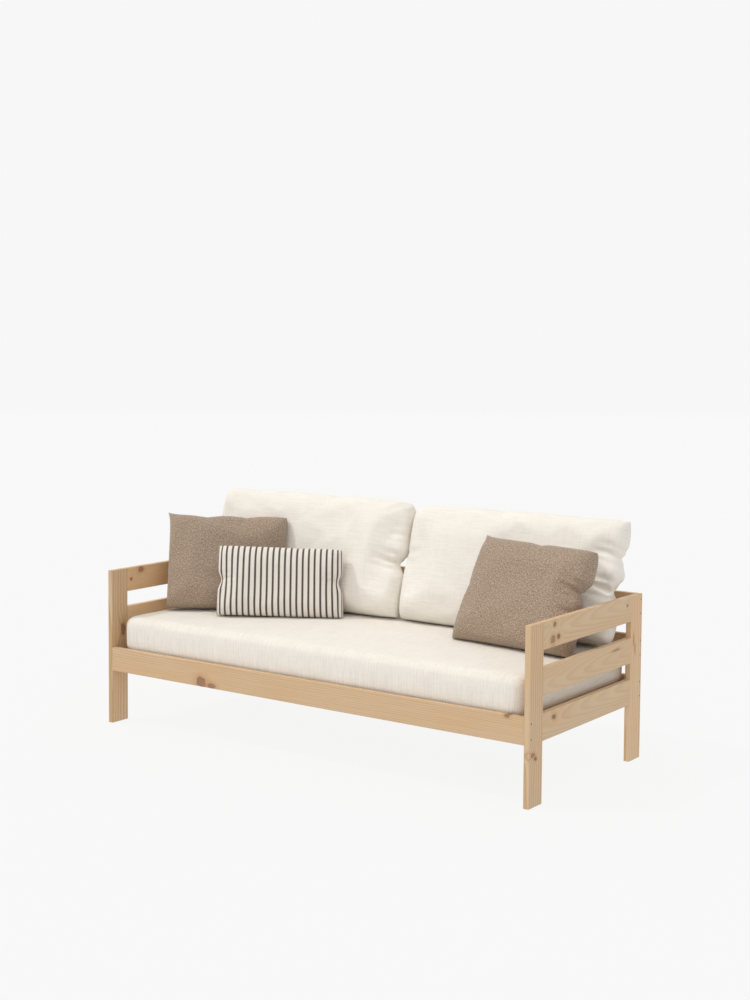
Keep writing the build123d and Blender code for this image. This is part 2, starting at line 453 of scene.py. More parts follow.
@dataclass(frozen=True)
class SteelFinish:
    """Burnished zinc-plated screws.

    Attributes:
        colour: the bright metal.
        dull: the metal where the plating is worn.
    """

    colour: Colour = srgb(126, 112, 104)
    dull: Colour = srgb(92, 80, 74)

    def material(self, name: str) -> bpy.types.Material:
        """Make the screws' material, with a fine grit.

        Args:
            name: the material's name.

        Returns:
            The material.
        """
        graph = Graph(name)
        x, y, z = graph.place()
        grit = graph.speckle(graph.point(x * 900, y * 900, z * 900), 2)
        graph.feed("Base Color", graph.mix(grit, self.colour, self.dull))
        graph.feed("Roughness", 0.34 + grit * 0.2)
        graph.emboss(grit, 0.0001, 0.4)
        graph.keep(Metallic=0.85)
        return graph.material


@dataclass(frozen=True)
class LinenFinish:
    """A slubbed plain weave of flax.

    Attributes:
        colour: the cloth's main colour.
        shade: the colour of its thicker, darker threads.
        across: how strongly the slubs that run across the cloth show.
        upright: how strongly the slubs that run up the cloth show.
        seed: moves the slubs.
        thread: the pitch of the threads, in metres.
        relief: depth of the weave and its slubs, in metres.
    """

    colour: Colour
    shade: Colour
    across: float
    upright: float
    seed: float = 0.0
    thread: float = 0.0011
    relief: float = 0.0007

    def slubs(self, graph: Graph, run: Wire, over: Wire, seed: float) -> Wire:
        """Lay long uneven threads, slow along their run and quick over them.

        Args:
            graph: the material's graph.
            run: metres along the threads.
            over: metres from thread to thread.
            seed: moves the slubs.

        Returns:
            How thick the thread is at each place, from 0 to 1.
        """
        broad = graph.speckle(graph.point(run * 9, over * 210, seed), 2, 0.6)
        fine = graph.speckle(graph.point(run * 26, over * 620, seed + 9), 2, 0.6)
        return broad * 0.55 + fine * 0.45

    def material(self, name: str) -> bpy.types.Material:
        """Make the cloth's material.

        Args:
            name: the material's name.

        Returns:
            The material, which reads the piece's weave map.
        """
        graph = Graph(name)
        u, v = graph.cloth()
        weft = self.slubs(graph, u, v, self.seed)
        warp = self.slubs(graph, v, u, self.seed + 31)
        weave = graph.threads(u, v, self.thread) * 0.5 + 0.5
        soft = graph.speckle(graph.point(u * 7, v * 7, self.seed + 3), 2)
        marks = graph.ease(weft, 0.60, 0.72) * self.across
        marks = marks + graph.ease(warp, 0.60, 0.72) * self.upright
        fleck = graph.speckle(graph.point(u * 45, v * 520, self.seed + 60), 1)
        specks = graph.ease(fleck, 0.735, 0.80) * 0.55 * self.across
        colour = graph.mix(marks * 0.55 + specks, self.colour, self.shade)
        factor = 1.0 + (weave - 0.5) * 0.05 + (soft - 0.5) * 0.06
        factor = factor + (weft - 0.5) * 0.42 * self.across + (warp - 0.5) * 0.42 * self.upright
        graph.feed("Base Color", graph.shade(colour, factor))
        graph.feed("Roughness", 0.86 + (weave - 0.5) * 0.08)
        graph.emboss(weave * 0.5 + weft * 0.9 + warp * 0.9, self.relief, 0.6)
        graph.keep(Specular_IOR_Level=0.25, Sheen_Weight=0.12, Sheen_Roughness=0.5)
        return graph.material


@dataclass(frozen=True)
class HeatherFinish:
    """A thick basket weave of brown yarns in mixed tones.

    Attributes:
        dark: the darkest yarns.
        middle: most of the yarns.
        light: the palest yarns.
        seed: moves the yarns' tones.
        yarn: the pitch of the yarns, in metres.
        relief: depth of the weave, in metres.
    """

    dark: Colour = srgb(120, 100, 82)
    middle: Colour = srgb(167, 147, 127)
    light: Colour = srgb(212, 195, 178)
    seed: float = 0.0
    yarn: float = 0.0021
    relief: float = 0.0011

    def material(self, name: str) -> bpy.types.Material:
        """Make the cloth's material.

        Args:
            name: the material's name.

        Returns:
            The material, which reads the piece's weave map.
        """
        graph = Graph(name)
        u, v = graph.cloth()
        basket = graph.threads(u, v, self.yarn)
        weft = graph.speckle(graph.point(u * 130, v * 320, self.seed), 2, 0.7)
        warp = graph.speckle(graph.point(u * 320, v * 130, self.seed + 17), 2, 0.7)
        top = graph.ease(basket, -0.35, 0.35)
        yarn = weft * top + warp * (1 - top)
        fuzz = graph.speckle(graph.point(u * 1500, v * 1500, self.seed + 5), 1)
        soft = graph.speckle(graph.point(u * 6, v * 6, self.seed + 3), 2)
        colour = graph.mix(graph.ease(yarn, 0.36, 0.52), self.dark, self.middle)
        colour = graph.mix(graph.ease(yarn, 0.52, 0.68), colour, self.light)
        factor = 1.0 + basket * 0.05 + (fuzz - 0.5) * 0.16 + (soft - 0.5) * 0.07
        graph.feed("Base Color", graph.shade(colour, factor))
        graph.feed("Roughness", 0.88 + (fuzz - 0.5) * 0.1)
        graph.emboss(basket * 0.22 + yarn * 0.5 + fuzz * 0.3, self.relief, 0.8)
        graph.keep(Specular_IOR_Level=0.2, Sheen_Weight=0.25, Sheen_Roughness=0.45)
        return graph.material


@dataclass(frozen=True)
class StripeFinish:
    """An undyed canvas with woven upright stripes.

    Attributes:
        ground: the canvas.
        stripe: the dark stripes.
        pitch: metres from stripe to stripe.
        width: how wide a stripe is, in metres.
        thread: the pitch of the threads, in metres.
        relief: depth of the weave and the stripes, in metres.
    """

    ground: Colour = srgb(233, 226, 217)
    stripe: Colour = srgb(58, 47, 43)
    pitch: float = 0.0246
    width: float = 0.0086
    thread: float = 0.0010
    relief: float = 0.0006

    def material(self, name: str) -> bpy.types.Material:
        """Make the cloth's material.

        Args:
            name: the material's name.

        Returns:
            The material, which reads the piece's weave map.
        """
        graph = Graph(name)
        u, v = graph.cloth()
        wander = graph.speckle(graph.point(u * 60, v * 14, 4.0), 1) - 0.5
        bleed = graph.speckle(graph.point(u * 900, v * 900, 8.0), 1) - 0.5
        turn = graph.maths("FRACT", (u + wander * 0.0008) / self.pitch + 100.5) - 0.5
        reach = graph.maths("ABSOLUTE", turn) * self.pitch + bleed * 0.0012
        stripe = 1 - graph.ease(reach, self.width * 0.38, self.width * 0.60)
        weave = graph.threads(u, v, self.thread) * 0.5 + 0.5
        slub = graph.speckle(graph.point(u * 420, v * 22, 2.0), 2, 0.6)
        fine = graph.speckle(graph.point(u * 30, v * 600, 6.0), 2, 0.6)
        colour = graph.mix(stripe * (0.86 + fine * 0.14), self.ground, self.stripe)
        factor = 1.0 + (weave - 0.5) * 0.06 + (slub - 0.5) * 0.12 + (fine - 0.5) * 0.06
        graph.feed("Base Color", graph.shade(colour, factor))
        graph.feed("Roughness", 0.84 + (weave - 0.5) * 0.1)
        graph.emboss(weave * 0.5 + slub * 0.5 + stripe * 0.25, self.relief, 0.7)
        graph.keep(Specular_IOR_Level=0.25, Sheen_Weight=0.1, Sheen_Roughness=0.5)
        return graph.material


Finish = Union[LinenFinish, HeatherFinish, StripeFinish]


# ------------------------------------------------------------------ frame and fasteners


def middle_of(node: str) -> Vector:
    """The middle of a CAD node's box."""
    low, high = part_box(node)
    return (Vector(low) + Vector(high)) / 2


def dress(node: str, material: bpy.types.Material) -> None:
    """Give a CAD node one material.

    Args:
        node: the node's name.
        material: its only material.
    """
    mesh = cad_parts[node].data
    mesh.materials.clear()
    mesh.materials.append(material)


@dataclass
class WoodFrame:
    """The pine boards of the frame, which keep their CAD shapes.

    Attributes:
        finish: the boards' finish.
        leg_ring: width of the growth rings in the legs, in metres.
        arm_ring: the same in the arm rails.
        rail_ring: the same in the long rails.
    """

    finish: PineFinish
    leg_ring: float = 0.0130
    arm_ring: float = 0.0068
    rail_ring: float = 0.0078

    def leg(self, seed: float, tone: float = 1.0, knots: tuple[Knot, ...] = ()) -> Board:
        """A leg, sawn with straight upright grain."""
        return Board(
            Grain.ALONG_Z_FACING_X,
            pith=(0.105, -0.045),
            drift=(0.015, 0.01),
            ring=self.leg_ring,
            tone=tone,
            seed=seed,
            knots=knots,
            heart_and_bounce=0.4,
            contrast=0.95,
        )

    def arm(
        self,
        seed: float,
        pith: tuple[float, float],
        knots: tuple[Knot, ...] = (),
        heart_and_bounce: float = 0.35,
        tone: float = 0.99,
    ) -> Board:
        """An arm rail, sawn flat."""
        return Board(
            Grain.ALONG_Y_FACING_X,
            pith=pith,
            drift=(0.03, 0.05),
            ring=self.arm_ring,
            tone=tone,
            seed=seed,
            knots=knots,
            heart_and_bounce=heart_and_bounce,
            contrast=0.42,
        )

    def rail(self, seed: float, pith: tuple[float, float], knots: tuple[Knot, ...] = ()) -> Board:
        """A long rail, sawn flat."""
        return Board(
            Grain.ALONG_X_FACING_Y,
            pith=pith,
            drift=(0.012, 0.02),
            ring=self.rail_ring,
            seed=seed,
            knots=knots,
        )

    def boards(self) -> dict[str, Board]:
        """Say how every board of the legs, the arms and the long rails was sawn.

        Returns:
            The boards by CAD node.
        """
        return {
            "leg_front_left": self.leg(1.3, 0.95, (Knot(0.066, 0.018, 0.014, 1.8, 0.7),)),
            "leg_front_right": self.leg(
                7.9,
                1.0,
                (Knot(-0.132, -0.022, 0.013, 0.6, 0.4), Knot(-0.148, -0.002, 0.009, 0.8, 0.9)),
            ),
            "leg_back_left": self.leg(12.4),
            "leg_back_right": self.leg(
                17.7,
                1.10,
                (Knot(0.147, -0.022, 0.0045, 5.0, 0.1), Knot(0.112, -0.010, 0.004, 4.0, 0.1)),
            ),
            # painted warm bounce light: this rail is warmer and lighter than the other arm rails,
            # for the light thrown onto the arm's inner face
            "arm_left_top_rail": self.arm(
                3.1,
                (0.03, 0.055),
                (Knot(-0.252, 0.034, 0.012, 1.3, 0.6), Knot(-0.310, 0.001, 0.006, 1.1, 1.0)),
                0.95,
                1.08,
            ),
            # painted warm bounce light: this rail is warmer and lighter than the other arm rails,
            # for the light thrown onto the arm's inner face
            "arm_left_middle_rail": self.arm(5.9, (0.11, 0.03), heart_and_bounce=0.6, tone=1.12),
            "arm_left_lower_rail": self.arm(8.2, (-0.02, 0.06)),
            "arm_right_top_rail": self.arm(
                21.3,
                (0.015, -0.050),
                (
                    Knot(-0.256, 0.030, 0.009, 1.1, 0.8),
                    Knot(-0.268, -0.022, 0.014, 1.05, 0.45),
                    Knot(-0.229, -0.016, 0.010, 1.05, 0.95),
                    Knot(0.298, 0.018, 0.005, 1.2, 0.9),
                ),
            ),
            "arm_right_middle_rail": self.arm(
                25.6, (-0.01, -0.048), (Knot(0.21, 0.022, 0.004, 7.0, 0.1),)
            ),
            "arm_right_lower_rail": self.arm(
                29.4, (0.02, -0.06), (Knot(-0.253, 0.022, 0.009, 1.5, 0.8),)
            ),
            "front_rail": self.rail(
                33.0,
                (0.100, -0.055),
                (
                    Knot(-0.484, -0.028, 0.020, 1.25, 0.55),
                    Knot(-0.432, -0.038, 0.011, 1.8, 0.45),
                    Knot(0.901, 0.046, 0.007, 1.6, 0.7),
                ),
            ),
            "back_top_rail": self.rail(41.0, (0.02, 0.07), (Knot(0.31, -0.01, 0.009, 1.4, 0.4),)),
            "back_middle_rail": self.rail(
                47.0, (-0.03, 0.06), (Knot(-0.52, 0.02, 0.011, 1.3, 0.5),)
            ),
            "back_lower_rail": self.rail(53.0, (0.10, 0.05)),
        }

    def build(self) -> None:
        """Dress the boards of the arms, the rails and the slatted base."""
        for node, board in self.boards().items():
            dress(node, self.finish.material(f"pine_{node}", board, middle_of(node)))
            log.info("board %s", node)
        for node in ("ledger_front", "ledger_back"):
            board = Board(Grain.ALONG_X_FACING_Y, (0.09, 0.04), seed=len(node) * 5.1)
            dress(node, self.finish.material(f"pine_{node}", board, middle_of(node)))
            log.info("ledger %s", node)
        slats = sorted(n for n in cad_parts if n.startswith("slat_") and n != "slat_screws")
        pitch = (middle_of(slats[-1]) - middle_of(slats[0])).x / (len(slats) - 1)
        board = Board(
            Grain.ALONG_Y_FACING_Z, (0.03, -0.05), (0.01, 0.03), ring=0.0080, tone=0.98, seed=61.0
        )
        slatted = self.finish.material("pine_slats", board, middle_of(slats[0]), pitch)
        for node in slats:
            dress(node, slatted)
            log.info("slat %s", node)


@dataclass
class Fasteners:
    """The screws and the dowels, which keep their CAD shapes.

    Attributes:
        steel: the screws' finish.
        pine: the dowels' finish.
    """

    steel: SteelFinish
    pine: PineFinish

    def build(self) -> None:
        """Dress the screws in steel and the dowels in plain wood."""
        steel = self.steel.material("zinc_steel")
        for node in ("rail_screws_left", "rail_screws_right", "ledger_screws", "slat_screws"):
            dress(node, steel)
            log.info("screws %s", node)
        board = Board(Grain.ALONG_Y_FACING_X, (0.2, 0.05), ring=0.003, tone=0.95, seed=71.0)
        for node in ("arm_dowels_left", "arm_dowels_right"):
            dress(node, self.pine.material(f"wood_{node}", board, middle_of(node)))
            log.info("dowels %s", node)


# ------------------------------------------------------------------ soft pieces


SETTLING_FRAMES = 18  # how long the cloth solver runs
LOOSE = 0.015  # how much larger than its filled shell a cover is cut, as a share
PACKED = 1.02  # the filling's volume over the shell's


def new_object(name: str, mesh: bpy.types.Mesh) -> bpy.types.Object:
    """Put a mesh in the scene, at the origin.

    Args:
        name: the object's name.
        mesh: its mesh.

    Returns:
        The object.
    """
    piece = bpy.data.objects.new(name, mesh)
    bpy.context.scene.collection.objects.link(piece)
    return piece


def to_mesh(name: str, work: bmesh.types.BMesh) -> bpy.types.Mesh:
    """Turn a bmesh into a smooth-shaded mesh and free it.

    Args:
        name: the mesh's name.
        work: the bmesh.

    Returns:
        The mesh.
    """
    mesh = bpy.data.meshes.new(name)
    for face in work.faces:
        face.smooth = True
    work.to_mesh(mesh)
    work.free()
    return mesh


def stuff(piece: bpy.types.Object, volume: float, frames: int, loose: float) -> None:
    """Let Blender's cloth solver settle a filled cover that is cut a little too large.

    Args:
        piece: the filled shell, which gets the simulated mesh.
        volume: the volume of the filling, in cubic metres.
        frames: how many frames to run.
        loose: how much larger than the shell the cloth is cut, as a share.
    """
    modifier = piece.modifiers.new("Cloth", "CLOTH")
    cloth = modifier.settings
    cloth.quality = 6
    cloth.mass = 0.3
    cloth.tension_stiffness = 15
    cloth.compression_stiffness = 15
    cloth.shear_stiffness = 5
    cloth.bending_stiffness = 0.5
    cloth.air_damping = 1.5
    cloth.shrink_min = -loose
    cloth.use_pressure = True
    cloth.uniform_pressure_force = 0
    cloth.use_pressure_volume = True
    cloth.target_volume = volume
    cloth.pressure_factor = 3
    cloth.effector_weights.gravity = 0
    modifier.collision_settings.use_collision = False
    modifier.point_cache.frame_start = 1
    modifier.point_cache.frame_end = frames
    for number in range(1, frames + 1):
        bpy.context.scene.frame_set(number)
    graph = bpy.context.evaluated_depsgraph_get()
    mesh = bpy.data.meshes.new_from_object(piece.evaluated_get(graph))
    piece.modifiers.clear()
    piece.data = mesh
    bpy.context.scene.frame_set(1)


def volume_of(mesh: bpy.types.Mesh) -> float:
    """Measure the inside of a closed mesh.

    Args:
        mesh: the mesh.

    Returns:
        Its volume in cubic metres.
    """
    work = bmesh.new()
    work.from_mesh(mesh)
    volume = work.calc_volume()
    work.free()
    return volume


def finish_soft(
    piece: bpy.types.Object, body: str, nodes: Iterable[str]
) -> None:
    """Subdivide a soft piece once, tie it to its body and hide the CAD nodes that it stands for.

    Args:
        piece: the piece.
        body: the CAD body that it rides on.
        nodes: the CAD nodes that it stands for.
    """
    smooth = piece.modifiers.new("Subdivision", "SUBSURF")
    smooth.levels = 1
    smooth.render_levels = 1
    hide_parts(*nodes)
    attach(piece, body)


def soft_floor(value: float, floor: float, give: float) -> float:
    """Hold a value above a floor, rounding off where it meets it.

    Args:
        value: the value.
        floor: what it stays above.
        give: how wide the rounding is.

    Returns:
        The value, raised where it was low.
    """
    excess = (value - floor) / give
    if excess > 30:
        return value
    return floor + give * math.log1p(math.exp(excess))


@dataclass
class Mattress:
    """The seat: a foam block in a close linen cover.

    Attributes:
        finish: the cover's cloth.
        name: the piece's name.
        corner: radius of the upright corners.
        edge: radius of the edges round the top and the bottom.
        voxel: size of the even mesh's cells.
        trim: how much smaller the block is than its CAD solid, overall.
        body: the CAD body that it rides on.
    """

    finish: LinenFinish
    name: str = "mattress"
    corner: float = 0.050
    edge: float = 0.036
    voxel: float = 0.0145
    trim: float = 0.004
    body: str = "mattress"

    def block(self) -> bpy.types.Object:
        """Make a block with round corners and an even mesh.

        Returns:
            The block, where the mattress lies.
        """
        low, high = (Vector(c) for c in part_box("mattress_cover"))
        size = high - low
        work = bmesh.new()
        bmesh.ops.create_cube(work, size=1.0)
        bmesh.ops.scale(work, vec=size - Vector((self.trim,) * 3), verts=work.verts)
        bmesh.ops.translate(work, vec=(low + high) / 2, verts=work.verts)
        uprights = [e for e in work.edges if abs(e.verts[0].co.z - e.verts[1].co.z) > size.z / 2]
        bmesh.ops.bevel(
            work, geom=uprights, offset=self.corner, offset_type="OFFSET", affect="EDGES",
            segments=8, profile=0.5, material=-1,
        )
        rims = [e for e in work.edges if abs(e.verts[0].co.z - e.verts[1].co.z) < 1e-5]
        bmesh.ops.bevel(
            work, geom=rims, offset=self.edge, offset_type="OFFSET", affect="EDGES",
            segments=6, profile=0.5, material=-1,
        )
        piece = new_object(self.name, to_mesh(self.name, work))
        remesh = piece.modifiers.new("Remesh", "REMESH")
        remesh.mode = "VOXEL"
        remesh.voxel_size = self.voxel
        graph = bpy.context.evaluated_depsgraph_get()
        even = bpy.data.meshes.new_from_object(piece.evaluated_get(graph))
        piece.modifiers.clear()
        piece.data = even
        return piece

    def lay_weave(self, mesh: bpy.types.Mesh) -> None:
        """Write the weave map: the top's cloth runs on down the front, the back and the ends.

        Args:
            mesh: the mattress's mesh.
        """
        low, high = (Vector(c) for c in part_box("mattress_cover"))
        work = bmesh.new()
        work.from_mesh(mesh)
        layer = work.loops.layers.uv.new(WEAVE)
        for face in work.faces:
            normal = face.normal
            face.smooth = True
            for loop in face.loops:
                spot = loop.vert.co
                drop = high.z - spot.z
                if abs(normal.z) >= max(abs(normal.x), abs(normal.y)):
                    place = (spot.x, spot.y)
                elif abs(normal.y) >= abs(normal.x):
                    edge = low.y - drop if normal.y < 0 else high.y + drop
                    place = (spot.x, edge)
                else:
                    edge = low.x - drop if normal.x < 0 else high.x + drop
                    place = (edge, spot.y)
                loop[layer].uv = place
        work.to_mesh(mesh)
        work.free()

    def settle(self, mesh: bpy.types.Mesh) -> None:
        """Crown the top a little, ripple the sides and flatten the underside.

        Args:
            mesh: the mattress's mesh.
        """
        low, high = (Vector(c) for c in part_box("mattress_cover"))
        half = (high - low) / 2
        centre = (high + low) / 2
        for vertex in mesh.vertices:
            spot = vertex.co.copy()
            across = (spot.x - centre.x) / half.x
            deep = (spot.y - centre.y) / half.y
            crown = max(0.0, 1 - across**4) * max(0.0, 1 - deep**4)
            ripple = noise.noise(Vector((spot.x * 3.1, spot.y * 3.7, 2.0)))
            creep = noise.noise(Vector((spot.x * 11, spot.y * 9 + spot.z * 7, 5.0)))
            if spot.z > centre.z:
                spot.z += crown * (0.004 + 0.0022 * ripple) - (1 - crown) * 0.003 + 0.0012 * creep
            side = 1 - min(1.0, abs(spot.z - centre.z) / half.z) ** 2
            if abs(deep) > 0.97:
                spot.y += math.copysign(0.0024, deep) * (creep + 0.3) * side
            if abs(across) > 0.985:
                spot.x += math.copysign(0.0024, across) * (creep + 0.3) * side
            spot.z = max(spot.z, low.z + 0.0004)
            spot.y = min(max(spot.y, low.y - 0.0022), high.y + 0.0022)
            vertex.co = spot

    def build(self) -> bpy.types.Object:
        """Build the mattress and dress it.

        Returns:
            The mattress.
        """
        piece = self.block()
        self.settle(piece.data)
        self.lay_weave(piece.data)
        piece.data.materials.clear()
        piece.data.materials.append(self.finish.material("mattress_linen"))
        finish_soft(piece, self.body, ("mattress_cover", "mattress_core"))
        log.info("mattress")
        return piece


@dataclass(frozen=True)
class Fold:
    """A crease in a cushion, in metres in its own plane.

    Attributes:
        start: where it starts, mostly on the seam.
        end: where it runs out.
        depth: how deep it is.
        width: half its width.
        pull: how far the seam is drawn in at its start.
    """

    start: tuple[float, float]
    end: tuple[float, float]
    depth: float
    width: float
    pull: float = 0.0

    def press(self, spot: Vector) -> Vector:
        """Press the crease into a point of the cushion.

        Args:
            spot: metres along the cushion, up it and out of its front.

        Returns:
            The point with the crease.
        """
        start, end = Vector(self.start), Vector(self.end)
        line = end - start
        flat = spot.xy - start
        share = min(max(flat.dot(line) / line.length_squared, 0.0), 1.0)
        gap = (flat - line * share).length
        valley = math.exp(-((gap / self.width) ** 2))
        ridge = math.exp(-(((gap - 1.9 * self.width) / self.width) ** 2))
        change = (valley - 0.45 * ridge) * self.depth * (1 - share) ** 0.7
        limit = abs(spot.z) * 0.85
        moved = spot.copy()
        moved.z -= math.copysign(max(-limit, min(limit, change)), spot.z)
        near = math.exp(-((flat.length / (2.6 * self.width)) ** 2))
        shift = line.normalized() * self.pull * near
        moved.x += shift.x
        moved.y += shift.y
        return moved


@dataclass
class Corners:
    """The seam's corners in a cushion's own plane.

    Attributes:
        bottom_left: metres along and up, from the middle of the bottom seam.
        bottom_right: the same.
        top_left: the same.
        top_right: the same.
    """

    bottom_left: tuple[float, float]
    bottom_right: tuple[float, float]
    top_left: tuple[float, float]
    top_right: tuple[float, float]

    def at(self, across: float, up: float) -> Vector:
        """Find a place between the corners.

        Args:
            across: 0 at the left seam, 1 at the right one.
            up: 0 at the bottom seam, 1 at the top one.

        Returns:
            The place in the cushion's plane.
        """
        bottom = Vector(self.bottom_left).lerp(Vector(self.bottom_right), across)
        top = Vector(self.top_left).lerp(Vector(self.top_right), across)
        return bottom.lerp(top, up)


@dataclass
class Cushion:
    """A filled cover of two panels sewn together along their edges.

    Attributes:
        name: the CAD body's name, and the start of its nodes' names.
        turn: degrees about Z that it faces away from the front.
        lean: degrees back from upright.
        size: the cut size of a panel, across and up.
        corners: where the seam's corners end up.
        thickness: through the filled middle.
        rim: radius of its rounded edge.
        draw: how far the middles of its sides are drawn in.
        tucks: how far its corners are tucked in: bottom left and right, then top ones.
        cells: mesh cells across and up.
        seed: makes each cushion's creases its own.
        fill: how tightly it is stuffed; not used.
        slump: how much fuller the lower half is.
        finish: its cloth.
        slot: the name of a material slot; not used.
        folds: its creases.
        crease: how sharp the seam stays, from 0 to 1.
        wood_gap: how far it stays off the rails.
        roll_over: how far above the back rail it starts to bulge out over it.
        cloth_gap: how far it stays off another cushion.
        seat_gap: how far it stays off the seat.
        reach: how deep in a neighbour a point may be and still be brought out.
    """

    name: str
    turn: float
    lean: float
    size: tuple[float, float]
    corners: Corners
    thickness: float
    rim: float
    draw: float
    tucks: tuple[float, float, float, float]
    cells: tuple[int, int]
    seed: float
    fill: float
    slump: float
    finish: Finish
    slot: str
    folds: tuple[Fold, ...] = ()
    crease: float = 0.55
    wood_gap: float = 0.004
    roll_over: float = 0.03
    cloth_gap: float = 0.003
    seat_gap: float = 0.0015
    reach: float = 0.12

    def axes(self) -> tuple[Vector, Vector, Vector]:
        """Work out which way the cushion faces.

        Returns:
            Directions along the cushion, up it and out of its front.
        """
        turn, lean = math.radians(self.turn), math.radians(self.lean)
        along = Vector((math.cos(turn), math.sin(turn), 0))
        back = Vector((-math.sin(turn), math.cos(turn), 0))
        up = Vector((0, 0, 1)) * math.cos(lean) + back * math.sin(lean)
        return along, up, along.cross(up)

    def foot(self) -> Vector:
        """Find where the cushion stands, from its CAD solid's outermost corners.

        Returns:
            The middle of the bottom seam.
        """
        along, up, _ = self.axes()
        spots = [v.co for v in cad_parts[f"{self.name}_cover"].data.vertices]
        left = max(spots, key=lambda p: -p.dot(along) - p.dot(up))
        right = max(spots, key=lambda p: p.dot(along) - p.dot(up))
        return (left + right) / 2

    def edge_profile(self, cloth: float, half: float) -> tuple[float, float]:
        """Carry a point round the rounded rim.

        Args:
            cloth: metres of cloth from the middle of the panel, signed.
            half: half the panel.

        Returns:
            Its place across the filled cushion, and the share of the full thickness there.
        """
        left = max(0.0, half - abs(cloth))
        angle = min(left / self.rim, math.pi / 2)
        inset = self.rim * (1 - math.cos(angle)) + max(0.0, left - self.rim * math.pi / 2)
        reach = half - self.rim * (math.pi / 2 - 1)
        return math.copysign(max(0.0, reach - inset), cloth), math.sin(angle)

    def filled(self, spot: Vector, side: int) -> Vector:
        """Where a point of a flat panel goes once the cushion is filled.

        Args:
            spot: the point on the panel.
            side: 1 for the front panel, -1 for the back one.

        Returns:
            The point on the filled cushion, still centred on the origin.
        """
        half_x, half_y = self.size[0] / 2, self.size[1] / 2
        across, share_x = self.edge_profile(spot.x, half_x)
        up, share_y = self.edge_profile(spot.y, half_y)
        open_x = 1 - (spot.x / half_x) ** 2
        open_y = 1 - (spot.y / half_y) ** 2
        crumple = noise.noise(Vector((spot.x * 9 + self.seed, spot.y * 9, side * 3.0)))
        crown = 0.80 + 0.20 * open_x * open_y
        depth = (share_x * share_y) ** 0.8 * crown * self.thickness / 2
        across -= math.copysign(self.draw * open_y, spot.x) * abs(spot.x / half_x) ** 3
        up -= math.copysign(self.draw * open_x, spot.y) * abs(spot.y / half_y) ** 3
        return Vector((across, up, side * (depth + 0.004 * crumple * share_x * share_y)))

    def panels(self) -> bpy.types.Object:
        """Sew two panels together along their edges, round the filling.

        Returns:
            The filled shell, centred on the origin.
        """
        wide, tall = self.size
        work = bmesh.new()
        bmesh.ops.create_grid(work, x_segments=self.cells[0], y_segments=self.cells[1], size=0.5)
        bmesh.ops.scale(work, vec=(wide, tall, 1), verts=work.verts)
        layer = work.loops.layers.uv.new(WEAVE)
        for face in work.faces:
            for loop in face.loops:
                loop[layer].uv = loop.vert.co.xy
        crease = work.edges.layers.float.new("crease_edge")
        for edge in work.edges:
            edge[crease] = self.crease if edge.is_boundary else 0.0
        copy = bmesh.ops.duplicate(work, geom=work.faces[:] + work.edges[:] + work.verts[:])
        back = [part for part in copy["geom"] if isinstance(part, bmesh.types.BMFace)]
        behind = {vertex for face in back for vertex in face.verts}
        bmesh.ops.reverse_faces(work, faces=back)
        for vertex in work.verts:
            vertex.co = self.filled(vertex.co, -1 if vertex in behind else 1)
        bmesh.ops.remove_doubles(work, verts=work.verts, dist=1e-5)
        return new_object(self.name, to_mesh(self.name, work))

    def fit(self, mesh: bpy.types.Mesh, corner_ids: list[int]) -> None:
        """Bring the seam's corners and the thickness to their sizes.

        Args:
            mesh: the filled shell, centred on the origin.
            corner_ids: the corner vertices: bottom left, bottom right, top left, top right.
        """
        spots = [mesh.vertices[i].co.copy() for i in corner_ids]
        left = (spots[0].x + spots[2].x) / 2
        right = (spots[1].x + spots[3].x) / 2
        low = (spots[0].y + spots[1].y) / 2
        high = (spots[2].y + spots[3].y) / 2
        depth = max(v.co.z for v in mesh.vertices) - min(v.co.z for v in mesh.vertices)
        for vertex in mesh.vertices:
            across = (vertex.co.x - left) / (right - left)
            up = (vertex.co.y - low) / (high - low)
            place = self.corners.at(across, up)
            side_x, side_y = 2 * across - 1, 2 * up - 1
            corner = 2 * (side_y > 0) + (side_x > 0)
            inset = self.tucks[corner] * min(1.0, abs(side_x * side_y)) ** 9
            place.x -= inset if side_x > 0 else -inset
            place.y -= inset if side_y > 0 else -inset
            fuller = 1 + self.slump * (0.5 - min(max(up, 0.0), 1.0))
            vertex.co = (place.x, place.y, vertex.co.z * self.thickness / depth * fuller)

    def corner_ids(self, mesh: bpy.types.Mesh) -> list[int]:
        """Find the seam's corners.

        Args:
            mesh: the filled shell.

        Returns:
            The corner vertices: bottom left, bottom right, top left, top right.
        """
        marks = [(-1, -1), (1, -1), (-1, 1), (1, 1)]
        return [
            max(mesh.vertices, key=lambda v: v.co.x * x + v.co.y * y).index for x, y in marks
        ]

    def build(self, seat: float, neighbours: list[bpy.types.Object]) -> bpy.types.Object:
        """Build the cushion in its place.

        Args:
            seat: the height of what it stands on.
            neighbours: pieces that it leans on and mustn't enter.

        Returns:
            The cushion.
        """
        piece = self.panels()
        ids = self.corner_ids(piece.data)
        stuff(piece, volume_of(piece.data) * PACKED, SETTLING_FRAMES, LOOSE)
        mesh = piece.data
        self.fit(mesh, ids)
        along, up, out = self.axes()
        place = Matrix((along, up, out)).transposed()
        foot = self.foot()
        for vertex in mesh.vertices:
            spot = vertex.co.copy()
            for fold in self.folds:
                spot = fold.press(spot)
            vertex.co = foot + place @ spot
        self.rest(mesh, seat, neighbours)
        mesh.materials.clear()
        mesh.materials.append(self.finish.material(f"{self.name}_cloth"))
        nodes = (f"{self.name}_cover", f"{self.name}_fill")
        finish_soft(piece, self.name, nodes)
        log.info("cushion %s", self.name)
        return piece

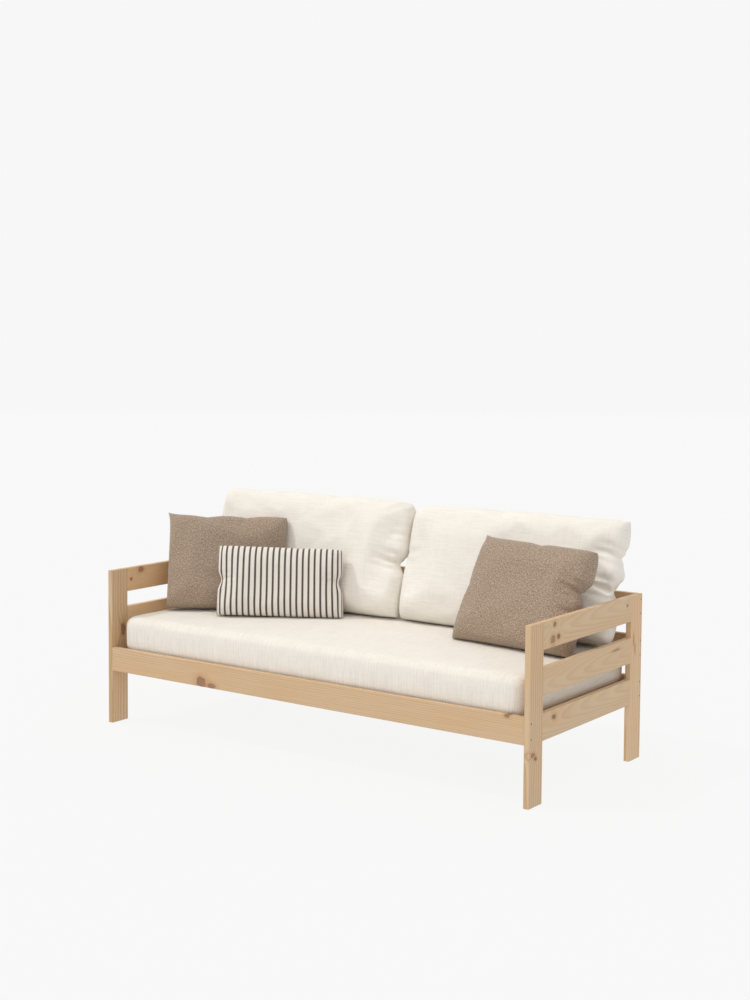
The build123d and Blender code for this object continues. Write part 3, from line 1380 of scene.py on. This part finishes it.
    def rest(
        self, mesh: bpy.types.Mesh, seat: float, neighbours: list[bpy.types.Object]
    ) -> None:
        """Flatten the cushion where it stands on the seat and leans on wood or cloth.

        Args:
            mesh: the cushion's mesh, in its place.
            seat: the height of what it stands on.
            neighbours: pieces that it leans on and mustn't enter.
        """
        rail_low, rail_high = (Vector(c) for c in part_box("back_top_rail"))
        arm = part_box("arm_right_top_rail")
        arm_inside, arm_top = arm[0][0], arm[1][2]
        trees = [BVHTree.FromObject(n, bpy.context.evaluated_depsgraph_get()) for n in neighbours]
        for vertex in mesh.vertices:
            spot = vertex.co.copy()
            if spot.z < rail_high.z + self.roll_over:
                over = max(0.0, spot.z - rail_high.z) / self.roll_over
                wall = rail_low.y - self.wood_gap + over * 0.05
                spot.y = -soft_floor(-spot.y, -wall, 0.004)
            if spot.z < arm_top + 0.02:
                limit = arm_inside - self.wood_gap + max(0.0, spot.z - arm_top)
                spot.x = -soft_floor(-spot.x, -limit, self.cloth_gap)
                spot.x = soft_floor(spot.x, -limit, self.cloth_gap)
            for tree in trees:
                near, normal, _, _ = tree.find_nearest(spot, self.reach)
                if near is not None and (spot - near).dot(normal) < self.cloth_gap:
                    spot = near + normal * self.cloth_gap
            spot.z = soft_floor(spot.z, seat + self.seat_gap, self.cloth_gap)
            vertex.co = spot


# ------------------------------------------------------------------ studio


@dataclass
class Studio:
    """A plain pale floor, soft light and the camera.

    Attributes:
        place: where the camera stands.
        yaw: degrees that it looks to the left of straight ahead.
        pitch: degrees that it looks up.
        roll: degrees that it leans.
        lens: its focal length, in millimetres.
        shift: how far its picture is shifted, across and up.
        extent: half the width of the floor and the backdrop.
        backdrop: how far behind the sofa the backdrop hangs.
        ring: radius and height of the ring round the other sides.
        glow: how bright the backdrop is.
    """

    place: tuple[float, float, float] = (3.62482, -5.05927, 1.62823)
    yaw: float = 36.192
    pitch: float = -4.052
    roll: float = 0.342
    lens: float = 57.403
    shift: tuple[float, float] = (0.025, -0.06)
    extent: float = 60.0
    backdrop: float = 25.0
    ring: tuple[float, float] = (55.0, 60.0)
    glow: float = 0.931

    def camera(self) -> None:
        """Set the camera up."""
        yaw, pitch = math.radians(self.yaw), math.radians(self.pitch)
        ahead = Vector(
            (-math.sin(yaw) * math.cos(pitch), math.cos(yaw) * math.cos(pitch), math.sin(pitch))
        )
        right = Vector((math.cos(yaw), math.sin(yaw), 0))
        turned = Matrix((right, right.cross(ahead), -ahead)).transposed()
        turned = turned @ Matrix.Rotation(math.radians(self.roll), 3, "Z")
        data = bpy.data.cameras.new("camera")
        data.lens = self.lens
        data.shift_x, data.shift_y = self.shift
        data.clip_end = 200
        camera = bpy.data.objects.new("camera", data)
        camera.matrix_world = Matrix.Translation(self.place) @ turned.to_4x4()
        bpy.context.scene.collection.objects.link(camera)
        bpy.context.scene.camera = camera

    def paint(self, name: str, reflects: float, glows: float) -> bpy.types.Material:
        """Make a pale paint that is partly its own light, so that shadows on it stay faint.

        Args:
            name: the material's name.
            reflects: how much light it reflects.
            glows: how much it gives out.

        Returns:
            The material.
        """
        graph = Graph(name)
        x, y, z = graph.place()
        tooth = graph.speckle(graph.point(x * 30, y * 30, z * 30), 2)
        tones = [(reflects * share,) * 3 for share in (0.98, 1.02)]
        graph.feed("Base Color", graph.mix(tooth, *tones))
        graph.shader.inputs["Emission Color"].default_value = (1, 1, 1, 1)
        graph.keep(Roughness=1.0, Specular_IOR_Level=0.0, Emission_Strength=glows)
        return graph.material

    def surfaces(self) -> None:
        """Lay a wide pale floor and hang a pale backdrop far behind the sofa."""
        for name in ("floor", "backdrop"):
            work = bmesh.new()
            bmesh.ops.create_grid(work, x_segments=8, y_segments=8, size=self.extent)
            if name == "backdrop":
                yaw = Matrix.Rotation(math.radians(self.yaw), 3, "Z")
                stand = Matrix.Rotation(math.pi / 2, 3, "X")
                bmesh.ops.transform(work, matrix=(yaw @ stand).to_4x4(), verts=work.verts)
                bmesh.ops.translate(work, vec=yaw @ Vector((0, self.backdrop, 0)), verts=work.verts)
            plane = new_object(name, to_mesh(name, work))
            share = (0.05, 0.885) if name == "floor" else (0.0, self.glow)
            plane.data.materials.append(self.paint(f"{name}_paint", *share))
        self.surround()

    def surround(self) -> None:
        """Close the far view on the other sides with a pale ring that casts and takes no light."""
        radius, height = self.ring
        work = bmesh.new()
        bmesh.ops.create_cone(
            work, cap_ends=False, segments=64, radius1=radius, radius2=radius, depth=height
        )
        ring = new_object("surround", to_mesh("surround", work))
        ring.data.materials.append(self.paint("surround_paint", 0.0, self.glow))
        ring.visible_diffuse = False
        ring.visible_glossy = False
        ring.visible_transmission = False
        ring.visible_shadow = False

    def light(self) -> None:
        """Light the scene with a pale surround, a lamp at the left and a wide soft one overhead."""
        world = bpy.data.worlds.new("surround")
        world.use_nodes = True
        surround = world.node_tree.nodes["Background"]
        surround.inputs["Color"].default_value = (1.0, 1.0, 1.0, 1)
        surround.inputs["Strength"].default_value = 0.45
        bpy.context.scene.world = world
        self.lamp("key", Vector((0.62, 0.42, -1.0)), 0.95, 3)
        self.lamp("overhead", Vector((-0.30, 0.55, -1.0)), 1.15, 80)
        bpy.context.scene.view_settings.view_transform = "Standard"

    def lamp(self, name: str, towards: Vector, energy: float, angle: float) -> None:
        """Hang one distant lamp.

        Args:
            name: the lamp's name.
            towards: the direction its light travels.
            energy: its strength.
            angle: how wide it is, in degrees; a wider lamp is softer.
        """
        data = bpy.data.lights.new(name, "SUN")
        data.energy = energy
        data.angle = math.radians(angle)
        data.color = (1.0, 0.98, 0.95)
        lamp = bpy.data.objects.new(name, data)
        lamp.rotation_mode = "QUATERNION"
        lamp.rotation_quaternion = towards.to_track_quat("-Z", "Y")
        bpy.context.scene.collection.objects.link(lamp)

    def build(self) -> None:
        """Build the studio."""
        self.camera()
        self.surfaces()
        self.light()
        log.info("studio")


# ------------------------------------------------------------------ the sofa bed


def cushions() -> dict[str, Cushion]:
    """Describe the five loose cushions.

    Returns:
        The cushions by name, the ones at the back first.
    """
    linen: dict[str, Colour | float] = {
        "colour": srgb(240, 235, 226),
        "shade": srgb(202, 186, 164),
        "across": 1.0,
        "upright": 0.6,
    }
    made = [
        Cushion(
            name="back_cushion_left",
            turn=2,
            lean=19,
            size=(1.07, 0.61),
            corners=Corners((-0.482, -0.006), (0.486, -0.006), (-0.498, 0.482), (0.472, 0.482)),
            thickness=0.20,
            rim=0.086,
            draw=-0.004,
            tucks=(0.004, 0.006, 0.006, 0.012),
            cells=(92, 52),
            seed=3.0,
            fill=0.6,
            slump=0.15,
            finish=LinenFinish(**linen, seed=5.0),
            slot="cushion_linen",
            folds=(
                Fold((0.484, 0.212), (0.35, 0.235), 0.070, 0.014, 0.034),
                Fold((0.478, 0.330), (0.40, 0.335), 0.018, 0.014, 0.004),
                Fold((0.10, 0.485), (0.11, 0.42), 0.010, 0.018, 0.004),
                Fold((-0.30, 0.482), (-0.27, 0.42), 0.010, 0.020, 0.004),
                Fold((0.46, 0.47), (0.36, 0.41), 0.012, 0.018, 0.0),
            ),
        ),
        Cushion(
            name="back_cushion_right",
            turn=0,
            lean=19,
            size=(1.05, 0.60),
            corners=Corners((-0.456, -0.008), (0.484, -0.004), (-0.472, 0.471), (0.484, 0.477)),
            thickness=0.20,
            rim=0.086,
            draw=-0.004,
            tucks=(0.004, 0.004, 0.012, 0.004),
            cells=(92, 52),
            seed=11.0,
            fill=0.6,
            slump=0.15,
            finish=LinenFinish(**linen, seed=25.0),
            slot="cushion_linen",
            folds=(
                Fold((0.484, 0.200), (0.36, 0.215), 0.060, 0.015, 0.022),
                Fold((0.484, 0.330), (0.38, 0.345), 0.034, 0.014, 0.014),
                Fold((-0.472, 0.260), (-0.37, 0.27), 0.012, 0.020, 0.004),
                Fold((-0.05, 0.474), (-0.03, 0.41), 0.010, 0.018, 0.004),
                Fold((0.30, 0.476), (0.27, 0.42), 0.008, 0.016, 0.003),
            ),
        ),
        Cushion(
            name="brown_cushion_left",
            turn=34,
            lean=20,
            size=(0.57, 0.47),
            corners=Corners((-0.246, -0.008), (0.250, -0.010), (-0.248, 0.394), (0.252, 0.388)),
            thickness=0.150,
            rim=0.064,
            draw=0.004,
            tucks=(0.0, 0.0, -0.010, 0.004),
            cells=(60, 50),
            seed=21.0,
            fill=0.6,
            slump=0.1,
            finish=HeatherFinish(seed=2.0),
            slot="brown_weave",
            folds=(
                Fold((-0.09, 0.394), (-0.08, 0.34), 0.012, 0.016, 0.006),
                Fold((0.08, 0.390), (0.07, 0.34), 0.010, 0.016, 0.006),
                Fold((0.25, 0.20), (0.19, 0.21), 0.010, 0.014, 0.004),
            ),
        ),
        Cushion(
            name="brown_cushion_right",
            turn=-5,
            lean=25,
            size=(0.58, 0.48),
            corners=Corners((-0.262, -0.010), (0.260, -0.014), (-0.230, 0.402), (0.271, 0.392)),
            thickness=0.155,
            rim=0.066,
            draw=0.003,
            tucks=(-0.004, 0.0, -0.009, 0.004),
            cells=(60, 50),
            seed=31.0,
            fill=0.6,
            slump=0.1,
            finish=HeatherFinish(seed=12.0),
            slot="brown_weave",
            folds=(
                Fold((0.264, 0.222), (0.175, 0.245), 0.050, 0.013, 0.024),
                Fold((0.262, 0.140), (0.19, 0.150), 0.030, 0.012, 0.010),
                Fold((-0.20, 0.39), (-0.13, 0.33), 0.010, 0.012, 0.0),
                Fold((0.03, 0.398), (0.04, 0.355), 0.010, 0.010, 0.005),
                Fold((-0.245, 0.20), (-0.19, 0.20), 0.008, 0.014, 0.003),
            ),
        ),
        Cushion(
            name="striped_cushion",
            turn=32,
            lean=12,
            size=(0.58, 0.335),
            corners=Corners((-0.258, -0.006), (0.264, -0.012), (-0.256, 0.280), (0.257, 0.270)),
            thickness=0.115,
            rim=0.050,
            draw=0.002,
            tucks=(0.0, 0.0, 0.002, 0.004),
            cells=(66, 38),
            seed=41.0,
            fill=0.6,
            slump=0.1,
            finish=StripeFinish(),
            slot="striped_cotton",
            folds=(
                Fold((-0.258, 0.135), (-0.17, 0.150), 0.026, 0.009, 0.014),
                Fold((0.261, 0.130), (0.16, 0.145), 0.028, 0.009, 0.014),
                Fold((0.08, 0.272), (0.085, 0.24), 0.006, 0.010, 0.002),
            ),
        ),
    ]
    return {cushion.name: cushion for cushion in made}


# which cushions each one leans on; they're built before it
LEANS_ON: dict[str, tuple[str, ...]] = {
    "back_cushion_left": (),
    "back_cushion_right": ("back_cushion_left",),
    "brown_cushion_left": ("back_cushion_left",),
    "brown_cushion_right": ("back_cushion_right",),
    "striped_cushion": ("back_cushion_left", "brown_cushion_left"),
}


def main() -> None:
    """Build the sofa bed and its studio."""
    logging.basicConfig(level=logging.INFO, format="%(name)s: %(message)s")
    Studio().build()
    pine = PineFinish()
    WoodFrame(pine).build()
    Fasteners(SteelFinish(), pine).build()
    linen = LinenFinish(
        srgb(238, 232, 223), srgb(200, 185, 166), across=0.5, upright=1.5, seed=45.0
    )
    Mattress(linen).build()
    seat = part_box("mattress_cover")[1][2]
    pieces: dict[str, bpy.types.Object] = {}
    for name, cushion in cushions().items():
        pieces[name] = cushion.build(seat, [pieces[other] for other in LEANS_ON[name]])


if __name__ == "__main__":
    main()
